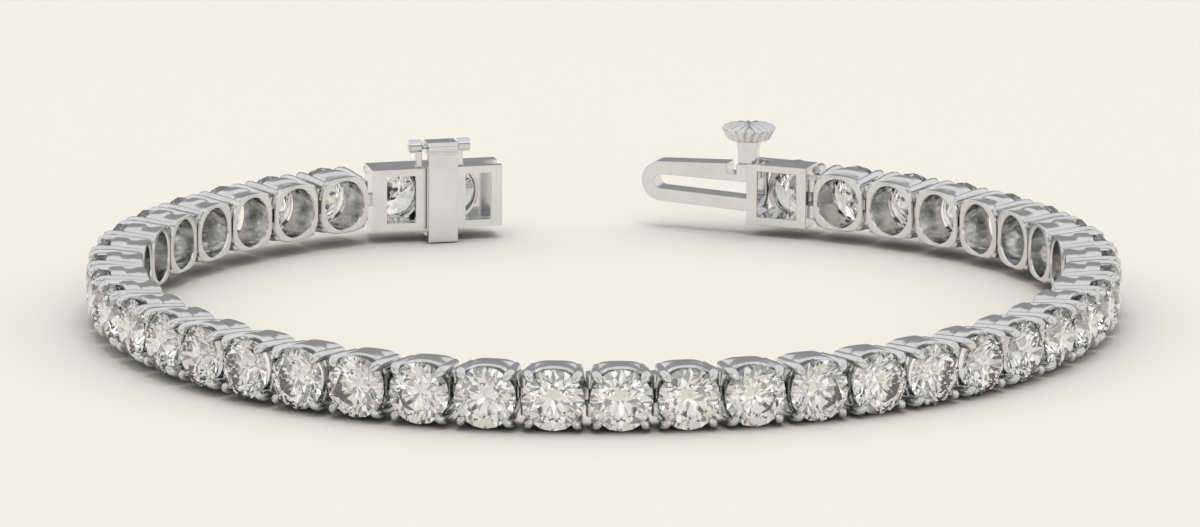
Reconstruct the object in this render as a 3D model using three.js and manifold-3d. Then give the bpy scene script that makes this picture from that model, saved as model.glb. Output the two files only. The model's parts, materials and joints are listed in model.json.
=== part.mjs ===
// A tennis bracelet lying open on its edge: a row of claw-set stones that ends in a box clasp with a
// fold-over safety latch on one side and in a spring tongue with a thumb cap on the other.
// Millimetres, +Z up. In the frame of every link X runs along the row, Y points to the wrist and Z up.
import * as THREE from 'three';
import { mergeVertices } from 'three/addons/utils/BufferGeometryUtils.js';
import Module from 'manifold-3d';

const wasm = await Module();
wasm.setup();

// Driving dimensions of the row.
const PITCH = 4.2; // hinge to hinge
const SIDE_LINKS = 19; // links on each side of the middle one
const LINK_WIDTH = 3.9; // along the row, which leaves a gap to the next link
const LINK_HEIGHT = 4.2; // across the row
const STONE_RADIUS = 2.0;
const TABLE_RADIUS = 1.14;
const HOLE_RADIUS = 1.55; // opening behind the stone, on the wrist side
const SIDES = 10; // facets around a setting
const CLAW = { reach: 1.58, radius: 0.36, over: 0.45, root: 0.1, sides: 4 }; // over: past the girdle

// Depths through a link, outward from the hinge line.
const WRIST = -0.9;
const WRIST_TAPER = 0.1;
const CULET = 0.5;
const GIRDLE = 2.2;
const TABLE = 2.85;
const RAIL = { from: 0.3, to: 1.6, cup: 0.2 }; // the thick gallery rail; cup: what a box stone keeps of it

// The hinges between links, as half sizes: the tab of one link and the slot it enters in the next.
const TAB = { depth: 0.33, height: 0.45, past: 0.22, root: 0.15 };
const SLOT = { depth: 0.6, height: 0.75, wall: 0.05 };
const BEYOND = 1; // how far a cutting block stands past what it cuts
const SUNK = 0.1; // how deep one soldered piece goes into the next

// How sharply the row turns at a hinge, in degrees: the mean turn, then what one, two, three and
// four waves around the loop add to it, and a sway that makes the right side a little fuller.
const TURN_WAVES = [7.8, -0.3, -0.35, 0.5, -0.8];
const TURN_SWAY = -0.23;
const MIDDLE_HEADING = 3.5;
const CLASP_TURN = 20; // between the last link and the clasp box

// The clasp box, from its hinge (x = 0) to its mouth (x = -BOX.length).
const BOX = { start: 0.45, length: 9.6, height: 4.3, outer: 1.7, wall: 0.4, rim: 0.55 };
const BOX_STONES = [2.4, 6.6];
const WINDOWS = [{ from: 1.45, to: 3.5 }, { from: 7.0, to: 8.85 }];
const WINDOW_RIM = 0.5;
const CHANNEL = { end: 1.3, outer: 1.05 }; // the hollow that takes the tongue
const STEM_SLOT = { depth: 1.1, from: -0.4, to: 0.8 };

// The safety latch, which hinges above the box and hooks under it.
const LATCH = {
  middle: 5.25, width: 2.1, axisOut: -0.25, axisHeight: 5.75, knuckle: 0.45, barrel: 4.3,
  face: -1.7, thickness: 0.6, drop: 0.9, lip: 0.3, lipThickness: 0.5, heel: 0.1, corner: 0.2,
  gap: 0.2, lug: 0.4, lugDepth: 0.3, sides: 12,
};

// The tongue, from its hinge (x = 0) to the tip of its fold.
const TONGUE = {
  tip: 12.7, foldRadius: 1.4, slotRadius: 0.5, foldHeight: 2.45, inner: -0.6, outer: 0.85,
  topAtRoot: 4.15, slotTopAtRoot: 2.9, slotBottomAtRoot: 1.75, bottomAtRoot: 0.85, split: 0.3,
};
const FRAME = {
  from: 0.45, to: 4.85, outer: 1.5, window: 1.35, wall: 0.7, sill: 0.6, pocket: 1.15, play: 0.05,
};
const STEM = { from: 4.4, to: 5.7, inner: -0.3, outer: 0.5, top: 5.6 };
const NOTCH = { to: 6.4, bottom: 3.4 };
const CAP = { radius: 1.85, underRadius: 1.55, out: 0.15, bottom: 5.85, thickness: 1.0, sides: 24 };
const CLEARANCE = 0.3;
const HAIR = 0.01; // keeps two points of an outline apart

// The row lies on the latch's foot and on links on the far side of the loop.
const REST_SPAN = 66; // level distance between the two
const REST_HEADING = 20; // along the links that it lies on

const WHITE_GOLD = { color: 0xd3d2cc, roughness: 0.16, metalness: 1 };
const POLISHED_GOLD = { color: 0xdbdad4, roughness: 0.1, metalness: 1 };

const radians = THREE.MathUtils.degToRad;

// Booleans.
function solid(geometry) {
  const bare = geometry.clone();
  bare.deleteAttribute('normal');
  bare.deleteAttribute('uv');
  const welded = mergeVertices(bare, 1e-5);
  const corners = welded.index.array;
  const kept = [];
  for (let i = 0; i < corners.length; i += 3) {
    const [a, b, c] = corners.slice(i, i + 3);
    if (a !== b && b !== c && c !== a) kept.push(a, b, c);
  }
  const mesh = new wasm.Mesh({
    numProp: 3,
    vertProperties: new Float32Array(welded.attributes.position.array),
    triVerts: new Uint32Array(kept),
  });
  return new wasm.Manifold(mesh);
}

function joined(solids) {
  return solids.reduce((whole, piece) => whole.add(piece));
}

function geometryOf(manifold) {
  const mesh = manifold.getMesh();
  const geometry = new THREE.BufferGeometry();
  geometry.setAttribute('position', new THREE.BufferAttribute(mesh.vertProperties, 3));
  geometry.setIndex(new THREE.BufferAttribute(mesh.triVerts, 1));
  geometry.computeVertexNormals();
  return geometry;
}

// A block between two values along the row, two depths outward and two heights.
function block([x0, x1], [out0, out1], [z0, z1]) {
  const geometry = new THREE.BoxGeometry(x1 - x0, out1 - out0, z1 - z0);
  geometry.translate((x0 + x1) / 2, -(out0 + out1) / 2, (z0 + z1) / 2);
  return solid(geometry);
}

// A rod that lies along the row.
function rowRod(radius, x0, x1, sides) {
  const geometry = new THREE.CylinderGeometry(radius, radius, x1 - x0, sides);
  geometry.rotateZ(Math.PI / 2);
  geometry.translate((x0 + x1) / 2, 0, 0);
  return solid(geometry);
}

// An outline in X and Z, extruded between two depths outward.
function plate(shape, out0, out1) {
  const geometry = new THREE.ExtrudeGeometry(shape, {
    depth: out1 - out0, bevelEnabled: false, curveSegments: 8,
  });
  geometry.rotateX(Math.PI / 2);
  geometry.translate(0, -out0, 0);
  return solid(geometry);
}

// A turned form around a stone's axis, from points of radius r and depth out.
function turned(profile) {
  const points = profile.map(({ r, out }) => new THREE.Vector2(r, -out));
  const geometry = new THREE.LatheGeometry(points, SIDES);
  geometry.scale(1, 1, LINK_HEIGHT / LINK_WIDTH);
  geometry.translate(0, 0, LINK_HEIGHT / 2);
  return solid(geometry);
}

// The four claws that hold a stone, which stand in the corners of its setting.
function claws(from) {
  const { reach, radius, sides } = CLAW;
  const tip = GIRDLE + CLAW.over;
  const posts = [];
  for (const along of [-reach, reach]) {
    for (const across of [-reach, reach]) {
      const geometry = new THREE.CylinderGeometry(radius, radius, tip - from, sides);
      geometry.translate(along, -(from + tip) / 2, LINK_HEIGHT / 2 + across);
      posts.push(solid(geometry));
    }
  }
  return posts;
}

// A setting with its stone, hollow behind the stone, and a slot that takes the tab before it.
function setting() {
  const rim = LINK_WIDTH / 2;
  const seat = CULET + (GIRDLE - CULET) * HOLE_RADIUS / STONE_RADIUS;
  const body = turned([
    { r: 0, out: TABLE },
    { r: TABLE_RADIUS, out: TABLE },
    { r: STONE_RADIUS, out: GIRDLE },
    { r: rim, out: RAIL.to },
    { r: rim, out: RAIL.from },
    { r: rim - WRIST_TAPER, out: WRIST },
    { r: HOLE_RADIUS, out: WRIST },
    { r: HOLE_RADIUS, out: seat },
    { r: 0, out: CULET },
  ]);
  const middle = LINK_HEIGHT / 2;
  const slot = block(
    [-rim - BEYOND, -HOLE_RADIUS + SLOT.wall],
    [-SLOT.depth, SLOT.depth],
    [middle - SLOT.height, middle + SLOT.height],
  );
  return joined([body, ...claws(RAIL.from + CLAW.root)]).subtract(slot);
}

// The tab that reaches from a link over its hinge into the next link's slot.
function tab(from, to) {
  const middle = LINK_HEIGHT / 2;
  return block([from, to], [-TAB.depth, TAB.depth], [middle - TAB.height, middle + TAB.height]);
}

function linkGeometry() {
  return geometryOf(setting().add(tab(HOLE_RADIUS + TAB.root, PITCH / 2 + TAB.past)));
}

// A stone in the box, of which only the part outside the box's outer wall shows.
function boxStone(distance) {
  const head = turned([
    { r: 0, out: TABLE },
    { r: TABLE_RADIUS, out: TABLE },
    { r: STONE_RADIUS, out: GIRDLE },
    { r: LINK_WIDTH / 2, out: RAIL.to },
    { r: LINK_WIDTH / 2, out: RAIL.to - RAIL.cup },
    { r: 0, out: RAIL.to - RAIL.cup },
  ]);
  return joined([head, ...claws(RAIL.to - RAIL.cup)]).translate([-distance, 0, 0]);
}

// The fixed outer knuckles of the latch's hinge, each on a lug that stands on the box.
function latchKnuckles() {
  const inner = LATCH.width / 2 + LATCH.gap;
  const pieces = [];
  for (const side of [-1, 1]) {
    const near = -LATCH.middle + side * inner;
    const far = -LATCH.middle + side * LATCH.barrel / 2;
    const lugEnd = near + side * LATCH.lug;
    const rod = rowRod(LATCH.knuckle, Math.min(near, far), Math.max(near, far), LATCH.sides);
    pieces.push(rod.translate([0, -LATCH.axisOut, LATCH.axisHeight]));
    pieces.push(block(
      [Math.min(near, lugEnd), Math.max(near, lugEnd)],
      [LATCH.axisOut - LATCH.lugDepth, LATCH.axisOut + LATCH.lugDepth],
      [BOX.height - SUNK, LATCH.axisHeight],
    ));
  }
  return pieces;
}

function claspBoxGeometry() {
  const ends = [-BOX.length, -BOX.start];
  const inside = [BOX.rim, BOX.height - BOX.rim];
  const shell = block(ends, [WRIST, BOX.outer], [0, BOX.height])
    .subtract(block([-BOX.length - BEYOND, -CHANNEL.end], [WRIST + BOX.wall, CHANNEL.outer], inside))
    .subtract(block(
      [-BOX.length - BEYOND, -BOX.length + STEM_SLOT.depth],
      [STEM_SLOT.from, STEM_SLOT.to],
      [BOX.height - BOX.rim - SUNK, BOX.height + BEYOND],
    ));
  const open = WINDOWS.reduce((body, { from, to }) => (
    body.subtract(block(
      [-to, -from],
      [WRIST - BEYOND, WRIST + BOX.wall + SUNK],
      [WINDOW_RIM, BOX.height - WINDOW_RIM],
    ))
  ), shell);
  return geometryOf(joined([
    open, tab(-BOX.start - 2 * SUNK, TAB.past), ...BOX_STONES.map(boxStone), ...latchKnuckles(),
  ]));
}

// The latch, around its own hinge axis: a knuckle and head above the box, a strap down its wrist
// side and a lip that hooks under it. The lip's far end is lowest, so what it rests on shuts it.
function latchGeometry() {
  const out = (depth) => depth - LATCH.axisOut;
  const foot = -LATCH.axisHeight - LATCH.drop;
  const outline = new THREE.Shape();
  outline.moveTo(0, LATCH.knuckle);
  outline.absarc(0, 0, LATCH.knuckle, Math.PI / 2, -Math.PI / 2, true);
  outline.lineTo(out(LATCH.face) + LATCH.thickness, -LATCH.knuckle);
  outline.lineTo(out(LATCH.face) + LATCH.thickness, foot + LATCH.lipThickness);
  outline.lineTo(out(LATCH.lip), foot + LATCH.lipThickness);
  outline.lineTo(out(LATCH.lip), foot);
  outline.lineTo(out(LATCH.face), foot + LATCH.heel);
  outline.lineTo(out(LATCH.face), LATCH.knuckle - LATCH.corner);
  outline.lineTo(out(LATCH.face) + LATCH.corner, LATCH.knuckle);
  const geometry = new THREE.ExtrudeGeometry(outline, {
    depth: LATCH.width, bevelEnabled: false, curveSegments: 6,
  });
  geometry.translate(0, 0, -LATCH.width / 2);
  geometry.rotateX(Math.PI / 2);
  geometry.rotateZ(-Math.PI / 2);
  return geometry;
}

// Heights of the hairpin's four edges, which spread from the fold to the root.
function tongueLevels() {
  const { foldHeight, foldRadius, slotRadius } = TONGUE;
  return {
    fold: TONGUE.tip - foldRadius,
    top: foldHeight + foldRadius,
    slotTop: foldHeight + slotRadius,
    slotBottom: foldHeight - slotRadius,
    bottom: foldHeight - foldRadius,
  };
}

// The lower blade and the fold at its tip.
function lowerBlade() {
  const { fold, slotTop, slotBottom, bottom } = tongueLevels();
  const root = FRAME.to - CLEARANCE;
  const outline = new THREE.Shape();
  outline.moveTo(root, TONGUE.bottomAtRoot);
  outline.lineTo(fold, bottom);
  outline.absarc(fold, TONGUE.foldHeight, TONGUE.foldRadius, -Math.PI / 2, Math.PI / 2, false);
  outline.lineTo(fold - HAIR, slotTop);
  outline.absarc(fold, TONGUE.foldHeight, TONGUE.slotRadius, Math.PI / 2, -Math.PI / 2, true);
  outline.lineTo(root, TONGUE.slotBottomAtRoot);
  return plate(outline, TONGUE.inner, TONGUE.outer);
}

// The last stone's square frame at the root of the tongue: a window on its wrist side, and a pocket
// for the stem above the lower blade.
function rootFrame() {
  const { play } = FRAME;
  return block([FRAME.from, FRAME.to], [WRIST, FRAME.outer], [0, BOX.height])
    .subtract(block(
      [FRAME.window, FRAME.to - FRAME.wall],
      [WRIST - BEYOND, FRAME.outer + BEYOND],
      [FRAME.sill, BOX.height - WINDOW_RIM],
    ))
    .subtract(block(
      [FRAME.to - FRAME.pocket, FRAME.to + BEYOND],
      [TONGUE.inner - play, TONGUE.outer + play],
      [TONGUE.slotBottomAtRoot + play, BOX.height + BEYOND],
    ));
}

function tongueEndGeometry() {
  return geometryOf(joined([boxStone(-PITCH / 2), rootFrame(), lowerBlade()]));
}

// The upper blade, around its bending line in the fold: notched behind its shoulder to catch the
// box, and carrying the stem of the thumb cap.
function pressBladeGeometry() {
  const { fold, top, slotTop } = tongueLevels();
  const end = fold - TONGUE.split;
  const outline = new THREE.Shape();
  outline.moveTo(end, slotTop);
  outline.lineTo(end, top);
  outline.lineTo(NOTCH.to, TONGUE.topAtRoot);
  outline.lineTo(NOTCH.to, NOTCH.bottom);
  outline.lineTo(STEM.to, NOTCH.bottom);
  outline.lineTo(STEM.to, TONGUE.topAtRoot);
  outline.lineTo(STEM.from, TONGUE.topAtRoot);
  outline.lineTo(STEM.from, TONGUE.slotTopAtRoot);
  const blade = plate(outline, TONGUE.inner + CLEARANCE, TONGUE.outer - CLEARANCE);
  const stem = block([STEM.from, STEM.to], [STEM.inner, STEM.outer], [NOTCH.bottom, STEM.top]);
  return geometryOf(blade.add(stem).translate([-fold, 0, -TONGUE.foldHeight]));
}

function capGeometry() {
  const geometry = new THREE.CylinderGeometry(CAP.radius, CAP.underRadius, CAP.thickness, CAP.sides);
  geometry.rotateX(Math.PI / 2);
  return geometry;
}

function mesh(name, geometry, look) {
  const piece = new THREE.Mesh(geometry, new THREE.MeshStandardMaterial(look));
  piece.name = name;
  return piece;
}

// The turn at the hinge between two links, counted from the middle link.
function turnAt(hinge) {
  const around = hinge / (SIDE_LINKS + 1) * Math.PI;
  const waves = TURN_WAVES.reduce((sum, size, n) => sum + size * Math.cos(n * around), 0);
  return radians(waves + TURN_SWAY * Math.sin(2 * around));
}

// A place on the row: half a pitch along a heading.
function halfStep(place, heading, forward) {
  const step = new THREE.Vector3(Math.cos(heading), Math.sin(heading), 0);
  return place.clone().addScaledVector(step, forward * PITCH / 2);
}

// The links of one side, walked outward from the middle one, and the hinge where they end.
function walk(forward) {
  let heading = radians(MIDDLE_HEADING);
  let hinge = halfStep(new THREE.Vector3(), heading, forward);
  const links = [];
  for (let count = 1; count <= SIDE_LINKS; count += 1) {
    heading += forward * turnAt(forward * (count - 0.5));
    const place = halfStep(hinge, heading, forward);
    links.push({ place, heading });
    hinge = halfStep(place, heading, forward);
  }
  return { links, hinge, heading };
}

function placed(piece, place, heading) {
  piece.position.copy(place);
  piece.rotation.z = heading;
  return piece;
}

function claspGroup(end) {
  const clasp = new THREE.Group();
  const latch = mesh('safety_latch', latchGeometry(), POLISHED_GOLD);
  latch.position.set(-LATCH.middle, -LATCH.axisOut, LATCH.axisHeight);
  clasp.add(mesh('clasp_box', claspBoxGeometry(), POLISHED_GOLD), latch);
  return placed(clasp, end.hinge, end.heading - radians(CLASP_TURN));
}

function tongueGroup(end) {
  const tongue = new THREE.Group();
  const blade = mesh('press_blade', pressBladeGeometry(), POLISHED_GOLD);
  blade.position.set(tongueLevels().fold, 0, TONGUE.foldHeight);
  const cap = mesh('thumb_cap', capGeometry(), POLISHED_GOLD);
  cap.position.set((STEM.from + STEM.to) / 2, -CAP.out, CAP.bottom + CAP.thickness / 2);
  tongue.add(mesh('tongue_end', tongueEndGeometry(), POLISHED_GOLD), blade, cap);
  const hinge = SIDE_LINKS + 0.5;
  return placed(tongue, end.hinge, end.heading + turnAt(hinge));
}

function bracelet() {
  const row = new THREE.Group();
  const left = walk(-1);
  const right = walk(1);
  const middle = { place: new THREE.Vector3(), heading: radians(MIDDLE_HEADING) };
  const links = [...left.links.reverse(), middle, ...right.links];
  const geometry = linkGeometry();
  links.forEach(({ place, heading }, index) => {
    const name = `link_${String(index + 1).padStart(2, '0')}`;
    row.add(placed(mesh(name, geometry, WHITE_GOLD), place, heading));
  });
  row.add(claspGroup(left), tongueGroup(right));
  return row;
}

// Tips the row onto the latch's foot and puts the middle of its footprint at the origin.
function laidDown(row) {
  const heading = radians(REST_HEADING);
  const along = new THREE.Vector3(Math.cos(heading), Math.sin(heading), 0);
  row.quaternion.setFromAxisAngle(along, Math.atan(LATCH.drop / REST_SPAN));
  row.updateMatrixWorld(true);
  const box = new THREE.Box3().setFromObject(row, true);
  const centre = box.getCenter(new THREE.Vector3());
  row.position.set(-centre.x, -centre.y, -box.min.z);
  return row;
}

const group = new THREE.Group();
group.add(laidDown(bracelet()));
export default group;
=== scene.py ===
# %% [markdown]
# # A tennis bracelet in white gold
# A tennis bracelet is one row of alike settings, each a small basket of metal with a round stone.
# This one lies open on its edge. Its solid model is loaded first as a fixed frame, and every
# finished piece is then built where that frame says it is.

# %% Load the frame
import json
import math

import bmesh
import bpy
from mathutils import Matrix, Vector


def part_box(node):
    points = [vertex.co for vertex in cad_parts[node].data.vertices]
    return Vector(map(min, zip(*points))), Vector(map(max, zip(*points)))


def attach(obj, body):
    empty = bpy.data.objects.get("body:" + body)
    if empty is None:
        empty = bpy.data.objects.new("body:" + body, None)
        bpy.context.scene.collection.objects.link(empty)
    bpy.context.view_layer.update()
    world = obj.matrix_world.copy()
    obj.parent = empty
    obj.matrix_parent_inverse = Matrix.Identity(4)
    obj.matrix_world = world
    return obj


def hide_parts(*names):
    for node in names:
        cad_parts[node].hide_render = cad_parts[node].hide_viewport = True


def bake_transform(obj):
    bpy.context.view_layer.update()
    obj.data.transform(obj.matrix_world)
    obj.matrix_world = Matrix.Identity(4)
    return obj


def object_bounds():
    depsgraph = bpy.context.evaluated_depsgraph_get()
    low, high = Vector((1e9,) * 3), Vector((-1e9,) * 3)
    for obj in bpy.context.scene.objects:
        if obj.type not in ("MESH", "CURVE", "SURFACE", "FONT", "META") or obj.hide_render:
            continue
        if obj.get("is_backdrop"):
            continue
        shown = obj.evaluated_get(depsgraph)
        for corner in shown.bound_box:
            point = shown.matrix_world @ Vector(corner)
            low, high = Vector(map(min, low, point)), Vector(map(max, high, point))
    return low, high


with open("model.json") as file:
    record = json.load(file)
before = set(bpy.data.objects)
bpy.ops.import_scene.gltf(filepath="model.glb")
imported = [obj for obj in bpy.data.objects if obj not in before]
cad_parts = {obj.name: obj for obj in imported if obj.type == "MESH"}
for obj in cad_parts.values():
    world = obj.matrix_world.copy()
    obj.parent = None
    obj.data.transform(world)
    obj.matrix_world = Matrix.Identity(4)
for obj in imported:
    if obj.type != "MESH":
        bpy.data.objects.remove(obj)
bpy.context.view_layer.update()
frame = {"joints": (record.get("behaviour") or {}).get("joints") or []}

MM = 0.001

# %% [markdown]
# ## Where the links stand
# The links follow a curve whose turn from link to link is known, so their places are computed by
# walking along it, hinge by hinge, from the middle link to both ends. Working in millimetres keeps
# the numbers readable; one last step turns a place into metres. In a link's own frame X runs along
# the row, Y points to the wrist and Z is up, and "out" is the distance away from the wrist.

# %% The row's own dimensions
PITCH = 4.2  # from hinge to hinge
SIDE_LINKS = 19  # links on each side of the middle one
LINK_HEIGHT = 4.2
MIDDLE = LINK_HEIGHT / 2
TURN_WAVES = [7.8, -0.3, -0.35, 0.5, -0.8]  # degrees: the mean turn and its slow changes
TURN_SWAY = -0.23
MIDDLE_HEADING = 3.5
CLASP_TURN = 20
REST_HEADING = 20
REST_LEAN = math.atan(0.9 / 66)  # the latch's foot lifts the clasp side a little


def turn_at(hinge):
    around = hinge / (SIDE_LINKS + 1) * math.pi
    waves = sum(size * math.cos(n * around) for n, size in enumerate(TURN_WAVES))
    return math.radians(waves + TURN_SWAY * math.sin(2 * around))


def half_step(place, heading, forward):
    return place + Vector((math.cos(heading), math.sin(heading), 0)) * forward * PITCH / 2


def walk(forward):
    heading = math.radians(MIDDLE_HEADING)
    hinge = half_step(Vector(), heading, forward)
    links = []
    for count in range(1, SIDE_LINKS + 1):
        heading += forward * turn_at(forward * (count - 0.5))
        place = half_step(hinge, heading, forward)
        links.append((place, heading))
        hinge = half_step(place, heading, forward)
    return links, hinge, heading


def stood(place, heading):
    return Matrix.Translation(place) @ Matrix.Rotation(heading, 4, "Z")


# %% Lay the row down as it rests
FOLD_CENTRE = Vector((11.3, 0, 2.45))  # the middle of the tongue's fold, in the tongue's frame

left_links, left_hinge, left_heading = walk(-1)
right_links, right_hinge, right_heading = walk(1)
rest_axis = Vector((math.cos(math.radians(REST_HEADING)), math.sin(math.radians(REST_HEADING)), 0))
lean = Matrix.Rotation(REST_LEAN, 4, rest_axis)
clasp_stand = stood(left_hinge, left_heading - math.radians(CLASP_TURN))
tongue_stand = stood(right_hinge, right_heading + turn_at(SIDE_LINKS + 0.5))
joints = {joint["name"]: joint for joint in frame["joints"]}
spring = Vector(joints["tongue_spring"]["pos_m"]) / MM
shift = Matrix.Translation(spring - lean @ tongue_stand @ FOLD_CENTRE)
laid = shift @ lean
link_places = [*reversed(left_links), (Vector(), math.radians(MIDDLE_HEADING)), *right_links]
link_stands = [laid @ stood(place, heading) for place, heading in link_places]
clasp_stand = laid @ clasp_stand
tongue_stand = laid @ tongue_stand
LATCH_AXIS = clasp_stand.inverted() @ (Vector(joints["latch_hinge"]["pos_m"]) / MM)
print("the latch's hinge in the box's frame, in mm:", [round(side, 2) for side in LATCH_AXIS])
for number in (1, 20, 39):
    low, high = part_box(f"link_{number:02d}")
    off = (low + high) / 2 / MM - link_stands[number - 1] @ Vector((0, -0.97, MIDDLE))
    print(f"link_{number:02d} stands {off.length:.2f} mm from the middle of its box")

# %% [markdown]
# ## Shaping tools
# Jewellery like this is cast: turned forms, swept wires and small plates, all soldered together.
# A shape here is a pair of lists, points and faces. Three small functions make a turned form, a
# swept wire and a plate with rounded rims, and one more joins shapes. `made` cleans a shape up,
# carves holes out of it, rounds its edges and turns it into a mesh in metres.


# %% Turned forms, wires and plates
def turned(profile, steps=64, loop=True, tall=LINK_HEIGHT / 3.9):
    """A form round the stone's axis, from radii, depths out and how square each ring is.
    A fourth number is how tall a ring is for its width, where it isn't as tall as the rest."""
    points = []
    faces = []
    count = len(profile)
    for step in range(steps):
        cosine = math.cos(2 * math.pi * step / steps)
        sine = math.sin(2 * math.pi * step / steps)
        for radius, out, power, *own in profile:
            reach = radius / (abs(cosine) ** power + abs(sine) ** power) ** (1 / power)
            rise = reach * sine * (own[0] if own else tall)
            points.append((reach * cosine, -out, MIDDLE + rise))
        for i in range(count if loop else count - 1):
            here = step * count
            there = (step + 1) % steps * count
            j = (i + 1) % count
            faces.append((here + i, there + i, there + j, here + j))
    return points, faces


def swept(path, radii, sides=12):
    """A wire along a path. A radius of 0 at an end closes it."""
    points = []
    faces = []
    side = None
    for i, (place, radius) in enumerate(zip(path, radii)):
        along = (path[min(i + 1, len(path) - 1)] - path[max(i - 1, 0)]).normalized()
        side = along.orthogonal() if side is None else side - along * side.dot(along)
        side.normalize()
        up = along.cross(side)
        for k in range(sides):
            angle = 2 * math.pi * k / sides
            points.append(place + (side * math.cos(angle) + up * math.sin(angle)) * radius)
            if i:
                before = (i - 1) * sides
                here = i * sides
                j = (k + 1) % sides
                faces.append((before + k, before + j, here + j, here + k))
    return points, faces


def eased(corners, radius, steps=4):
    """A closed outline whose corners are turned into small curves."""
    outline = []
    for i, corner in enumerate(corners):
        corner = Vector(corner)
        back = Vector(corners[i - 1]) - corner
        ahead = Vector(corners[(i + 1) % len(corners)]) - corner
        start = corner + back.normalized() * min(radius, back.length * 0.45)
        end = corner + ahead.normalized() * min(radius, ahead.length * 0.45)
        for k in range(steps + 1):
            t = k / steps
            outline.append(start.lerp(corner, t).lerp(corner.lerp(end, t), t))
    return outline


def shrunk(outline, distance):
    """An anticlockwise outline, moved inward."""
    moved = []
    for i, place in enumerate(outline):
        back = (place - outline[i - 1]).normalized()
        ahead = (outline[(i + 1) % len(outline)] - place).normalized()
        outward = Vector((back.y + ahead.y, -back.x - ahead.x))
        moved.append(place - outward * distance / max(1 + back.dot(ahead), 0.3))
    return moved


def plate(outline, low, high, edge, put, steps=3):
    """An outline stretched from low to high with rounded rims; put turns (u, v, w) into a place."""
    rings = []
    for k in range(steps + 1):
        angle = math.pi / 2 * k / steps
        rings.append((edge * (1 - math.sin(angle)), edge * (1 - math.cos(angle))))
    levels = [(inward, low + rise) for inward, rise in rings]
    levels += [(inward, high - rise) for inward, rise in reversed(rings)]
    points = []
    faces = []
    count = len(outline)
    for row, (inward, level) in enumerate(levels):
        points += [put(place.x, place.y, level) for place in shrunk(outline, inward)]
        if row:
            for i in range(count):
                j = (i + 1) % count
                before = (row - 1) * count
                here = row * count
                faces.append((before + i, before + j, here + j, here + i))
    faces.append(tuple(reversed(range(count))))
    faces.append(tuple(range(len(points) - count, len(points))))
    return points, faces


def block(x, out, z):
    """A sharp block between two places along the row, two depths out and two heights."""
    points = [(x[i], -out[j], z[k]) for i in (0, 1) for j in (0, 1) for k in (0, 1)]
    faces = [(0, 1, 3, 2), (4, 6, 7, 5), (0, 4, 5, 1), (2, 3, 7, 6), (0, 2, 6, 4), (1, 5, 7, 3)]
    return points, faces


def moved(shape, x=0.0):
    points, faces = shape
    return [(place[0] + x, place[1], place[2]) for place in points], faces


def together(*shapes):
    points = []
    faces = []
    for more_points, more_faces in shapes:
        start = len(points)
        points += [tuple(place) for place in more_points]
        faces += [tuple(start + corner for corner in face) for face in more_faces]
    return points, faces


# %% Finish a shape as a mesh
WELD = 0.0005
SHARP = math.radians(32)


def rough(name, shape):
    points, faces = shape
    form = bmesh.new()
    corners = [form.verts.new(place) for place in points]
    for face in faces:
        form.faces.new([corners[i] for i in face])
    bmesh.ops.remove_doubles(form, verts=form.verts, dist=WELD)
    bmesh.ops.dissolve_degenerate(form, edges=form.edges, dist=WELD)
    bmesh.ops.recalc_face_normals(form, faces=form.faces)
    mesh = bpy.data.meshes.new(name)
    form.to_mesh(mesh)
    form.free()
    mesh.shade_smooth()
    mesh.set_sharp_from_angle(angle=SHARP)
    body = bpy.data.objects.new(name, mesh)
    bpy.context.scene.collection.objects.link(body)
    return body


def made(name, shape, cuts=(), edge=0.0, flat=False):
    """The finished mesh in metres: cuts are carved out and edges rounded by the width of edge."""
    body = rough(name, shape)
    tools = [rough("tool", cut) for cut in cuts]
    for tool in tools:
        carving = body.modifiers.new("carving", "BOOLEAN")
        carving.operation = "DIFFERENCE"
        carving.solver = "EXACT"
        carving.object = tool
    if edge:
        rounding = body.modifiers.new("rounding", "BEVEL")
        rounding.width = edge
        rounding.segments = 2
        rounding.angle_limit = SHARP
        rounding.harden_normals = True
    elif not flat:
        weighting = body.modifiers.new("weighting", "WEIGHTED_NORMAL")
        weighting.keep_sharp = True
    evaluated = body.evaluated_get(bpy.context.evaluated_depsgraph_get())
    mesh = bpy.data.meshes.new_from_object(evaluated)
    if flat:
        mesh.shade_flat()
    mesh.transform(Matrix.Scale(MM, 4))
    mesh.name = name
    for used in [body, *tools]:
        bpy.data.objects.remove(used)
    print(f"{name}: {len(mesh.polygons)} faces")
    return mesh


def placed(name, mesh, stand, body, slot, *nodes):
    """A piece of the bracelet at its stand, moving with a body and standing for CAD nodes."""
    piece = bpy.data.objects.new(name, mesh)
    bpy.context.scene.collection.objects.link(piece)
    spot = stand.copy()
    spot.translation = stand.translation * MM
    piece.matrix_world = spot
    if nodes:
        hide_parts(*nodes)
    if body:
        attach(piece, body)
    return piece


# %% [markdown]
# ## Materials
# Node materials are built with one helper that adds a node, sets its settings and makes its links.
# Colours are written as sRGB hex, the way a colour picker shows them, and turned to linear light,
# which is what the renderer adds up.


# %% The two helpers for materials
def linear(hex_colour):
    channels = [int(hex_colour[i:i + 2], 16) / 255 for i in (1, 3, 5)]
    return [*(c / 12.92 if c <= 0.04045 else ((c + 0.055) / 1.055) ** 2.4 for c in channels), 1.0]


def add(tree, kind, inputs=None, **settings):
    """Adds a node. An input is given as a value, or as another node's output to link to it."""
    node = tree.nodes.new(kind)
    for name, value in settings.items():
        setattr(node, name, value)
    for socket, value in (inputs or {}).items():
        if isinstance(value, bpy.types.NodeSocket):
            tree.links.new(value, node.inputs[socket])
        else:
            node.inputs[socket].default_value = value
    return node


def new_material(name):
    material = bpy.data.materials.new(name)
    material.use_nodes = True
    material.node_tree.nodes.clear()
    return material, material.node_tree


def scale_for(millimetres):
    """The noise scale that makes a pattern of about this size, as noise is counted per metre."""
    return 1 / (millimetres * MM)


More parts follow.
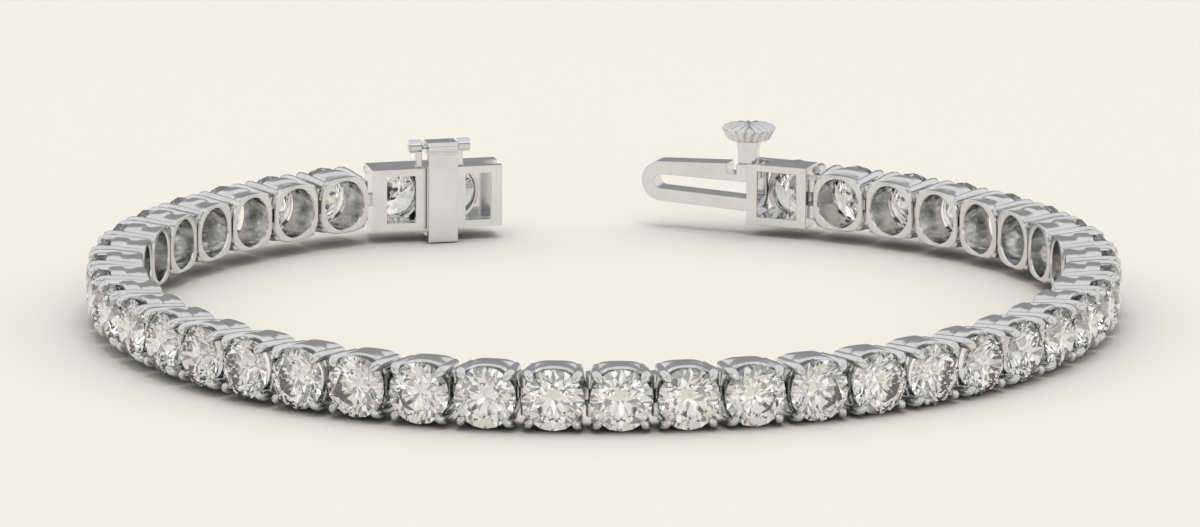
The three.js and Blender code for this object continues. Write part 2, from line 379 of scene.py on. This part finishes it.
# %% [markdown]
# ### Rhodium-plated white gold
# White gold is cast, tumbled and plated with rhodium, which makes it cold and mirror-like. The
# links keep a little of the casting's softness because a polishing wheel can't reach between the
# claws. The clasp's flat faces are buffed on a wheel, which leaves fine lines along them. Real
# lines are a few hundredths of a millimetre apart; here they are drawn coarser so that they show.


# %% White gold, tumbled and plated
def white_gold(name, tint, worn_tint, roughness, pattern, lines, depth):
    material, tree = new_material(name)
    place = add(tree, "ShaderNodeTexCoord")
    stretch = add(tree, "ShaderNodeMapping", {"Vector": place.outputs["Object"], "Scale": lines})
    cloud = add(tree, "ShaderNodeTexNoise", {
        "Vector": place.outputs["Object"], "Scale": scale_for(pattern * 8), "Detail": 3.0,
    })
    grain = add(tree, "ShaderNodeTexNoise", {
        "Vector": stretch.outputs["Vector"], "Scale": scale_for(pattern), "Detail": 4.0,
    })
    tone = add(tree, "ShaderNodeValToRGB", {"Fac": cloud.outputs["Fac"]})
    tone.color_ramp.elements[0].position = 0.35
    tone.color_ramp.elements[0].color = linear(worn_tint)
    tone.color_ramp.elements[1].position = 0.65
    tone.color_ramp.elements[1].color = linear(tint)
    polish = add(tree, "ShaderNodeMapRange", {
        "Value": grain.outputs["Fac"], "From Min": 0.3, "From Max": 0.7,
        "To Min": roughness[0], "To Max": roughness[1],
    })
    relief = add(tree, "ShaderNodeBump", {
        "Height": grain.outputs["Fac"], "Strength": 0.25, "Distance": depth * MM,
    })
    metal = add(tree, "ShaderNodeBsdfPrincipled", {
        "Base Color": tone.outputs["Color"], "Metallic": 1.0,
        "Roughness": polish.outputs["Result"], "Normal": relief.outputs["Normal"],
    })
    add(tree, "ShaderNodeOutputMaterial", {"Surface": metal.outputs["BSDF"]})
    return material


tumbled_gold = white_gold(
    "tumbled_rhodium_white_gold", "#E4E4E4", "#D9D9D9", (0.12, 0.24), 0.25, (1, 1, 1), 0.01,
)
buffed_gold = white_gold(
    "buffed_rhodium_white_gold", "#E5E5E6", "#DDDDDE", (0.12, 0.19), 0.2, (0.15, 1, 1), 0.003,
)
print("metals:", tumbled_gold.name, buffed_gold.name)

# %% [markdown]
# ### Cut diamond
# Diamond bends light far more than glass, so its IOR is 2.42, and its ground facets are as smooth
# as a surface can be. It is near colourless: the tint is the faint warmth of a commercial grade,
# and the cloudy noise is the faint graining that a stone of that grade holds.

# %% Diamond, ground and polished
cut_diamond, tree = new_material("ground_and_polished_diamond")
place = add(tree, "ShaderNodeTexCoord")
graining = add(tree, "ShaderNodeTexNoise", {
    "Vector": place.outputs["Object"], "Scale": scale_for(0.6), "Detail": 3.0,
})
body_colour = add(tree, "ShaderNodeValToRGB", {"Fac": graining.outputs["Fac"]})
body_colour.color_ramp.elements[0].position = 0.3
body_colour.color_ramp.elements[0].color = linear("#F1F0EC")
body_colour.color_ramp.elements[1].position = 0.7
body_colour.color_ramp.elements[1].color = linear("#FDFCF9")
wheel_lines = add(tree, "ShaderNodeBump", {
    "Height": graining.outputs["Fac"], "Strength": 0.04, "Distance": 0.002 * MM,
})
stone = add(tree, "ShaderNodeBsdfPrincipled", {
    "Base Color": body_colour.outputs["Color"], "Roughness": 0.0, "IOR": 2.42,
    "Transmission Weight": 1.0, "Normal": wheel_lines.outputs["Normal"],
})
add(tree, "ShaderNodeOutputMaterial", {"Surface": stone.outputs["BSDF"]})

# %% [markdown]
# ## The stone
# A round brilliant has 57 facets: a table, 8 stars, 8 kites and 16 upper girdle facets on the
# crown, and 16 lower girdle facets and 8 mains on the pavilion. It is cut by angle, so its points
# follow from the crown and pavilion angles, and each facet is one flat face with no smoothing.

# %% Cut one round brilliant
STONE = 2.08  # radius at the girdle
TABLE = 1.18
GIRDLE_OUT = 2.2
GIRDLE_THICKNESS = 0.06
CROWN_SLOPE = math.tan(math.radians(34.5))
PAVILION_SLOPE = math.tan(math.radians(40.75))
STAR_CORNER = 1.59
LOWER_CORNER = 0.52
EIGHTH = math.pi / 4


def on_circle(radius, eighths, out):
    angle = eighths * EIGHTH
    return (radius * math.cos(angle), -out, MIDDLE + radius * math.sin(angle))


def brilliant():
    crown = GIRDLE_OUT + GIRDLE_THICKNESS
    half_eighth = math.cos(EIGHTH / 2)
    star_out = crown + (STONE - STAR_CORNER * half_eighth) * CROWN_SLOPE
    lower_out = GIRDLE_OUT - (STONE - LOWER_CORNER * half_eighth) * PAVILION_SLOPE
    points = []
    for i in range(8):
        points += [
            on_circle(TABLE, i, crown + (STONE - TABLE) * CROWN_SLOPE),
            on_circle(STAR_CORNER, i + 0.5, star_out),
            on_circle(STONE, i, crown),
            on_circle(STONE, i + 0.5, crown),
            on_circle(STONE, i, GIRDLE_OUT),
            on_circle(STONE, i + 0.5, GIRDLE_OUT),
            on_circle(LOWER_CORNER, i + 0.5, lower_out),
        ]
    points.append((0, -(GIRDLE_OUT - STONE * PAVILION_SLOPE), MIDDLE))
    culet = len(points) - 1
    faces = [tuple(range(0, culet, 7))]
    for i in range(8):
        table, star, crown_0, crown_half, low_0, low_half, lower = range(i * 7, i * 7 + 7)
        next_table, _, next_crown, _, next_low, _, _ = range((i + 1) % 8 * 7, (i + 1) % 8 * 7 + 7)
        before_star = (i - 1) % 8 * 7 + 1
        before_lower = (i - 1) % 8 * 7 + 6
        faces += [
            (table, star, next_table),
            (table, before_star, crown_0, star),
            (star, crown_0, crown_half),
            (star, crown_half, next_crown),
            (crown_0, low_0, low_half, crown_half),
            (crown_half, low_half, next_low, next_crown),
            (lower, low_half, low_0),
            (lower, next_low, low_half),
            (culet, lower, low_0, before_lower),
        ]
    return points, faces


stone_mesh = made("round_brilliant", brilliant(), flat=True)
stone_mesh.materials.append(cut_diamond)

# %% [markdown]
# ## A link
# Behind the stone a link is a short tube, nearly square outside and round inside, with a thick
# gallery rail round it. Four claws stand in its corners and bend over the stone's crown. The tab on
# its right enters the next link between two ears and turns there on a pin. All of it is soldered,
# so the parts may run into each other, and the whole link is one mesh that 39 pieces share.

# %% Build the basket behind the stone
WRIST = -0.9
BORE = 1.55
RAIL = 1.95
BASKET_PROFILE = [
    (BORE + 0.06, WRIST, 2.0), (BORE + 0.16, WRIST - 0.02, 2.3), (1.86, WRIST - 0.01, 3.4, 1.01),
    (1.92, WRIST + 0.07, 3.6, 1.01), (1.92, -0.5, 3.6, 1.01), (1.8, -0.32, 3.2), (1.76, 0.0, 3.0),
    (1.78, 0.4, 3.0), (1.91, 0.56, 2.8), (RAIL, 0.7, 2.7), (RAIL, 1.32, 2.7), (1.92, 1.46, 2.7),
    (1.84, 1.55, 2.6), (1.7, 1.58, 2.0), (1.58, 1.48, 2.0), (BORE, 1.35, 2.0),
    (BORE, WRIST + 0.08, 2.0),
]
CLAW_PATH = [
    (1.5, -0.86, 0.0), (1.5, -0.84, 0.18), (1.5, -0.7, 0.29), (1.56, 0.4, 0.33),
    (1.63, 1.2, 0.35), (1.64, 2.0, 0.36), (1.61, 2.3, 0.35), (1.53, 2.49, 0.32),
    (1.42, 2.58, 0.26), (1.33, 2.59, 0.17), (1.28, 2.57, 0.08), (1.27, 2.56, 0.0),
]


def claws(lowest=WRIST):
    """The four claws, from the depth called lowest to their tips."""
    bend = [station for station in CLAW_PATH if station[1] >= lowest]
    root = (bend[0][0], bend[0][1] - 0.01, 0.0)
    posts = []
    for along in (-1, 1):
        for up in (-1, 1):
            path = [
                Vector((reach * along, -out, MIDDLE + reach * up)) for reach, out, _ in [root, *bend]
            ]
            posts.append(swept(path, [radius for _, _, radius in [root, *bend]]))
    return posts


def tab(start, end, height=0.42, thickness=0.33):
    corners = [(start, -thickness), (end, -thickness), (end, thickness), (start, thickness)]
    return plate(
        eased(corners, 0.3), MIDDLE - height, MIDDLE + height, 0.06,
        lambda u, v, w: (u, v, w),
    )


def ear(up, start=-2.22, end=-1.6):
    """One of the two cheeks that hold the hinge pin and close the gap between two links."""
    corners = [(start, -0.95), (end, -0.95), (end, 0.45), (start, 0.45)]
    near, far = 0.47, 1.4
    low = MIDDLE + (near if up > 0 else -far)
    return plate(eased(corners, 0.22), low, low + far - near, 0.06, lambda u, v, w: (u, v, w))


def hinge_pin(x):
    path = [Vector((x, 0, MIDDLE + height)) for height in (-0.84, -0.82, -0.78, 0.78, 0.82, 0.84)]
    return swept(path, [0, 0.13, 0.18, 0.18, 0.13, 0], sides=16)


basket = turned(BASKET_PROFILE)
link_ears = [ear(up) for up in (-1, 1)]
link_shape = together(basket, *claws(), tab(1.6, 2.42), *link_ears, hinge_pin(-2.1))
link_mesh = made("claw_set_link", link_shape)
link_mesh.materials.append(tumbled_gold)

# %% Set 39 links and their stones
for number, stand in enumerate(link_stands, start=1):
    link = f"link_{number:02d}"
    placed(f"basket_{number:02d}", link_mesh, stand, "bracelet", "white_gold", link)
    placed(f"stone_{number:02d}", stone_mesh, stand, "bracelet", "diamond")

# %% [markdown]
# ## The clasp box
# The box is folded from sheet and soldered. It is carved here from one block: a channel for the
# tongue, a slot for the stem of the thumb cap, two windows on the wrist side and two round seats
# for its stones. Rounding the edges afterwards gives each one the thin highlight of buffed metal.

# %% Carve the box
BOX_LENGTH = 9.6
BOX_HEIGHT = 4.3
BOX_OUTER = 1.7
BOX_STONES = (2.4, 6.6)
WINDOWS = ((1.45, 3.5), (7.0, 8.85))
RIM = 0.55
EDGE = 0.07

box_block = block((-BOX_LENGTH, -0.45), (WRIST, BOX_OUTER), (0, BOX_HEIGHT))
channel = block((-BOX_LENGTH - 1, -1.3), (WRIST + 0.4, 1.05), (RIM, BOX_HEIGHT - RIM))
stem_slot = block((-BOX_LENGTH - 1, -8.5), (-0.4, 0.8), (BOX_HEIGHT - 1, BOX_HEIGHT + 1))
windows = [
    block((-far, -near), (WRIST - 1, WRIST + 0.6), (0.5, BOX_HEIGHT - 0.5)) for near, far in WINDOWS
]
seat_bore = [(0, 0.7, 2.0), (1.75, 0.7, 2.0), (1.75, 2.4, 2.0), (0, 2.4, 2.0)]
seats = [moved(turned(seat_bore, loop=False), -along) for along in BOX_STONES]
box_mesh = made("clasp_box", box_block, [channel, stem_slot, *windows, *seats], EDGE)
box_mesh.materials.append(buffed_gold)
placed("box_shell", box_mesh, clasp_stand, "bracelet", "polished_white_gold", "clasp_box")

# %% Set the two stones of the box
CUP_PROFILE = [
    (1.62, 1.3, 2.0), (1.86, 1.3, 2.3), (1.95, 1.42, 2.4), (RAIL, 1.75, 2.5), (1.86, 1.9, 2.5),
    (1.72, 1.92, 2.0), (1.62, 1.75, 2.0),
]
cup_mesh = made("box_cup", together(turned(CUP_PROFILE), *claws(1.1)))
cup_mesh.materials.append(tumbled_gold)
for count, along in enumerate(BOX_STONES, start=1):
    stand = clasp_stand @ Matrix.Translation((-along, 0, 0))
    placed(f"box_cup_{count}", cup_mesh, stand, "bracelet", "white_gold", "clasp_box")
    placed(f"box_stone_{count}", stone_mesh, stand, "bracelet", "diamond")

# %% [markdown]
# ## The latch's hinge
# Two short tubes stand on the box, each on its own lug, and the latch's tube lies between them on
# one pin. The lugs are narrower than the tubes, so light shows under their outer ends.

# %% Build the fixed knuckles, the pin and the tab to the first link
LATCH_WIDTH = 2.1
LATCH_GAP = 0.2
KNUCKLE = 0.45
BARREL = 4.3
LUG = 0.4


def knuckle(start, end, radius=KNUCKLE):
    """A tube of the hinge with softened ends, along the row."""
    soft = 0.07
    stations = [start, start + 0.001, start + soft, end - soft, end - 0.001, end]
    path = [LATCH_AXIS + Vector((x, 0, 0)) for x in stations]
    return swept(path, [0, radius - soft, radius, radius, radius - soft, 0], sides=32)


inner = LATCH_WIDTH / 2 + LATCH_GAP
hinge_parts = [knuckle(-BARREL / 2 - 0.03, BARREL / 2 + 0.03, 0.22)]
for start, end in ((-BARREL / 2, -inner), (inner, BARREL / 2)):
    hinge_parts.append(knuckle(start, end))
for start in (-inner - LUG, inner):
    middle_x = LATCH_AXIS.x + start + LUG / 2
    corners = [
        (middle_x - 0.3, BOX_HEIGHT - 0.1), (middle_x + 0.3, BOX_HEIGHT - 0.1),
        (middle_x + LUG / 2, BOX_HEIGHT + 0.2), (middle_x + LUG / 2, LATCH_AXIS.z),
        (middle_x - LUG / 2, LATCH_AXIS.z), (middle_x - LUG / 2, BOX_HEIGHT + 0.2),
    ]
    hinge_parts.append(plate(
        eased(corners, 0.12), -0.05, 0.55, 0.05, lambda u, v, w: (u, w, v),
    ))
hinge_parts.append(tab(-0.9, 0.3))
hinge_mesh = made("latch_knuckles", together(*hinge_parts))
hinge_mesh.materials.append(buffed_gold)
placed("latch_knuckles", hinge_mesh, clasp_stand, "bracelet", "polished_white_gold", "clasp_box")

# %% [markdown]
# ## The safety latch
# The latch is one strip of sheet: its head rolls round the pin above the box, the strap runs down
# the box's wrist side, and a lip hooks under it. Its outline is drawn once from the side, its
# corners are eased, and it is then stretched to the strap's width.

# %% Fold the latch
STRAP_FACE = 1.45  # how far the strap's face stands from the hinge, towards the wrist
STRAP = 0.6
FOOT = 6.65  # below the hinge
LIP_REACH = 0.55
LIP = 0.5


def latch_outline():
    around = [math.radians(angle) for angle in range(90, 271, 15)]
    head = [(KNUCKLE * math.cos(angle), KNUCKLE * math.sin(angle)) for angle in around]
    inside = STRAP_FACE - STRAP
    groove = STRAP_FACE - 0.08
    strap = [
        (inside, -KNUCKLE), (inside, LIP - FOOT), (-LIP_REACH, LIP - FOOT), (-LIP_REACH, -FOOT),
        (STRAP_FACE, 0.1 - FOOT), (STRAP_FACE, -0.32), (groove, -0.26), (groove, -0.16),
        (STRAP_FACE, -0.1), (STRAP_FACE, KNUCKLE - 0.2), (STRAP_FACE - 0.2, KNUCKLE),
    ]
    return eased(head + strap, 0.07, 3)


latch_shape = plate(
    latch_outline(), -LATCH_WIDTH / 2, LATCH_WIDTH / 2, 0.06, lambda u, v, w: (w, u, v),
)
latch_mesh = made("folded_latch", latch_shape)
latch_mesh.materials.append(buffed_gold)
latch_stand = clasp_stand @ Matrix.Translation(LATCH_AXIS)
placed("latch_strap", latch_mesh, latch_stand, "latch", "polished_white_gold", "safety_latch")

# %% [markdown]
# ## The tongue
# The last setting carries a square frame, and from its foot a single strip runs out, folds back
# over itself like a hairpin and returns. In the real clasp, pressing the cap brings its two blades
# together; here the strip is one fixed mesh in its resting shape, tied to no moving body.

# %% Build the last setting and its frame
FRAME_START = 0.45
FRAME_END = 4.85
FRAME_WINDOW = (1.2, 4.05)
HEAD = Matrix.Translation((PITCH / 2, 0, 0))

placed("last_cup", cup_mesh, tongue_stand @ HEAD, "bracelet", "white_gold", "tongue_end")
placed("last_stone", stone_mesh, tongue_stand @ HEAD, "bracelet", "diamond")

frame_block = block((FRAME_START, FRAME_END), (WRIST, 1.5), (0, BOX_HEIGHT))
frame_window = block(FRAME_WINDOW, (WRIST - 1, 2.5), (0.6, BOX_HEIGHT - 0.5))
stem_pocket = block((3.7, FRAME_END + 1), (-0.66, 0.91), (1.8, BOX_HEIGHT + 1))
frame_mesh = made("root_frame", frame_block, [frame_window, stem_pocket], EDGE)
frame_mesh.materials.append(buffed_gold)
placed("root_frame", frame_mesh, tongue_stand, "bracelet", "polished_white_gold", "tongue_end")

last_joint = moved(together(*link_ears, hinge_pin(-2.1)), PITCH / 2)
joint_mesh = made("last_ears", last_joint)
joint_mesh.materials.append(buffed_gold)
placed("last_ears", joint_mesh, tongue_stand, "bracelet", "polished_white_gold", "tongue_end")

# %% Fold the hairpin strip
FOLD_X = FOLD_CENTRE.x
FOLD_Z = FOLD_CENTRE.z
FOLD_RADIUS = 1.4
SLOT_RADIUS = 0.5
STRIP = (-0.6, 0.85)


def fold(radius, start, end, step):
    angles = [math.radians(angle) for angle in range(start, end + step, step)]
    return [(FOLD_X + radius * math.cos(a), FOLD_Z + radius * math.sin(a)) for a in angles]


def in_blade(u, v, w):
    """From a side view of the tongue, drawn in X and height, to a place."""
    return (u, -w, v)


strip_outline = [
    (4.5, 0.85), *fold(FOLD_RADIUS, -90, 90, 10),
    (6.4, 4.12), (6.4, 3.4), (5.7, 3.4), (5.7, 4.12), (4.4, 4.15), (4.4, 2.9),
    *fold(SLOT_RADIUS, 90, -90, -15), (4.5, 1.75),
]
strip_shape = plate(eased(strip_outline, 0.1, 2), *STRIP, 0.05, in_blade)
strip_mesh = made("hairpin_strip", strip_shape)
strip_mesh.materials.append(buffed_gold)
strip = placed(
    "hairpin_strip", strip_mesh, tongue_stand, None, "polished_white_gold",
    "tongue_end", "press_blade",
)
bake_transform(strip)

# %% [markdown]
# ## The thumb cap
# The cap is a small turned button with a milled edge, so that a fingertip doesn't slip. Its rings
# are drawn from a profile, and each ring has sixteen lobes as deep as the profile says.

# %% Mill the cap and file its stem
CAP_CENTRE = Vector((5.05, -0.15, 0))
FLUTES = 16
CAP_PROFILE = [
    (0, 5.84, 0), (1.05, 5.84, 0), (1.45, 5.88, 0.06), (1.56, 5.98, 0.14), (1.64, 6.15, 0.2),
    (1.8, 6.42, 0.24), (1.86, 6.55, 0.24), (1.86, 6.64, 0.24), (1.8, 6.72, 0.24),
    (1.64, 6.79, 0.24), (1.3, 6.86, 0.2), (0.9, 6.9, 0.14), (0.45, 6.93, 0.04), (0, 6.94, 0),
]


def milled(profile, steps=FLUTES * 10):
    points = []
    faces = []
    count = len(profile)
    for step in range(steps):
        angle = 2 * math.pi * step / steps
        lobe = abs(math.cos(FLUTES / 2 * angle)) ** 0.7
        for radius, height, depth in profile:
            reach = radius - depth * (1 - lobe)
            sunk = height - depth * 0.7 * (1 - lobe)
            points.append(CAP_CENTRE + Vector((math.cos(angle) * reach, math.sin(angle) * reach, sunk)))
        for i in range(count - 1):
            here = step * count
            there = (step + 1) % steps * count
            faces.append((here + i, there + i, there + i + 1, here + i + 1))
    return points, faces


cap_mesh = made("milled_cap", milled(CAP_PROFILE))
cap_mesh.materials.append(buffed_gold)
placed("milled_cap", cap_mesh, tongue_stand, "press", "polished_white_gold", "thumb_cap")

stem_outline = [
    (4.45, 3.3), (5.68, 3.3), (5.7, 5.0), (5.78, 5.4), (5.95, 5.9), (4.15, 5.9), (4.32, 5.4),
    (4.4, 5.0),
]
stem_mesh = made("cap_stem", plate(eased(stem_outline, 0.1), -0.28, 0.56, 0.08, in_blade))
stem_mesh.materials.append(buffed_gold)
placed("cap_stem", stem_mesh, tongue_stand, "press", "polished_white_gold", "press_blade")

# %% [markdown]
# ## Floor, light and camera
# Polished metal shows mostly what stands round it. A dome that is bright in front and dim behind
# and above gives the links pale faces and dark upper edges, and a softbox overhead lays a soft
# shadow under the row. The floor is matte paper, so it takes the shadow without a reflection.

# %% Matte paper floor
FLOOR_SIDE = 3.0  # metres
paper, tree = new_material("matte_studio_paper")
place = add(tree, "ShaderNodeTexCoord")
fibres = add(tree, "ShaderNodeTexNoise", {
    "Vector": place.outputs["Object"], "Scale": scale_for(0.5), "Detail": 2.0,
})
paper_tone = add(tree, "ShaderNodeValToRGB", {"Fac": fibres.outputs["Fac"]})
paper_tone.color_ramp.elements[0].color = linear("#E9E6DE")
paper_tone.color_ramp.elements[1].color = linear("#EAE7DF")
matte = add(tree, "ShaderNodeBsdfPrincipled", {
    "Base Color": paper_tone.outputs["Color"], "Roughness": 1.0, "Specular IOR Level": 0.0,
})
add(tree, "ShaderNodeOutputMaterial", {"Surface": matte.outputs["BSDF"]})

half = FLOOR_SIDE / 2
floor_mesh = bpy.data.meshes.new("floor")
floor_mesh.from_pydata(
    [(-half, -half, 0), (half, -half, 0), (half, half, 0), (-half, half, 0)], [], [(0, 1, 2, 3)],
)
floor_mesh.materials.append(paper)
floor = bpy.data.objects.new("floor", floor_mesh)
bpy.context.scene.collection.objects.link(floor)
floor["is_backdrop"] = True

# %% The dome
EVEN_LIGHT = 0.9
BACK_LIGHT = 0.32
CARD_DARK = 0.3
CARD_LIGHT = 1.2
TOP_LIGHT = 0.85
world = bpy.data.worlds.new("studio_dome")
world.use_nodes = True
tree = world.node_tree
tree.nodes.clear()
place = add(tree, "ShaderNodeTexCoord")
way = add(tree, "ShaderNodeSeparateXYZ", {"Vector": place.outputs["Generated"]})
card_shapes = add(tree, "ShaderNodeTexNoise", {
    "Vector": place.outputs["Generated"], "Scale": 3.5, "Detail": 1.0,
})
cards = add(tree, "ShaderNodeMapRange", {
    "Value": card_shapes.outputs["Fac"], "From Min": 0.44, "From Max": 0.56,
    "To Min": CARD_DARK, "To Max": CARD_LIGHT,
}, interpolation_type="SMOOTHSTEP")
behind_cards = add(tree, "ShaderNodeMapRange", {
    "Value": way.outputs["Y"], "From Min": -0.35, "From Max": 0.1,
}, interpolation_type="SMOOTHSTEP")
front = add(tree, "ShaderNodeMix", {
    "Factor": behind_cards.outputs["Result"], "A": cards.outputs["Result"], "B": EVEN_LIGHT,
})
far_back = add(tree, "ShaderNodeMapRange", {
    "Value": way.outputs["Y"], "From Min": 0.76, "From Max": 0.9,
}, interpolation_type="SMOOTHSTEP")
level = add(tree, "ShaderNodeMix", {
    "Factor": far_back.outputs["Result"], "A": front.outputs["Result"], "B": BACK_LIGHT,
})
overhead = add(tree, "ShaderNodeMapRange", {
    "Value": way.outputs["Z"], "From Min": 0.7, "From Max": 0.9,
}, interpolation_type="SMOOTHSTEP")
brightness = add(tree, "ShaderNodeMix", {
    "Factor": overhead.outputs["Result"], "A": level.outputs["Result"], "B": TOP_LIGHT,
})
dome = add(tree, "ShaderNodeBackground", {"Strength": brightness.outputs["Result"]})
dome.inputs["Color"].default_value = (1, 1, 1, 1)
add(tree, "ShaderNodeOutputWorld", {"Surface": dome.outputs["Background"]})
bpy.context.scene.world = world

# %% The softbox
SOFTBOX_SIDE = 0.45
SOFTBOX_HEIGHT = 0.7
softbox_light = bpy.data.lights.new("softbox", "AREA")
softbox_light.shape = "SQUARE"
softbox_light.size = SOFTBOX_SIDE
softbox_light.energy = 1.7
softbox = bpy.data.objects.new("softbox", softbox_light)
softbox.location = (0, 0.02, SOFTBOX_HEIGHT)
softbox.visible_glossy = False
bpy.context.scene.collection.objects.link(softbox)

# %% The camera
DISTANCE = 1.0
ELEVATION = math.radians(12.38)
AZIMUTH = math.radians(0.6)
AIM = Vector((-0.26, -1.37, 4.57)) * MM
camera_data = bpy.data.cameras.new("camera")
camera_data.sensor_width = 36
camera_data.lens = 446.6
camera_data.clip_start = 0.1
camera_data.clip_end = 10
camera = bpy.data.objects.new("camera", camera_data)
turn = Matrix.Rotation(AZIMUTH, 3, "Z")
away = turn @ Vector((0, -math.cos(ELEVATION), math.sin(ELEVATION)))
camera.location = AIM + away * DISTANCE
camera.rotation_euler = (math.pi / 2 - ELEVATION, 0, AZIMUTH)
bpy.context.scene.collection.objects.link(camera)
bpy.context.scene.camera = camera
bpy.context.scene.view_settings.view_transform = "Standard"
bpy.context.scene.cycles.caustics_reflective = False
bpy.context.scene.cycles.caustics_refractive = False

# %% Measure and finish
low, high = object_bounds()
print("visual box in mm:", [round(side / MM, 2) for side in high - low])
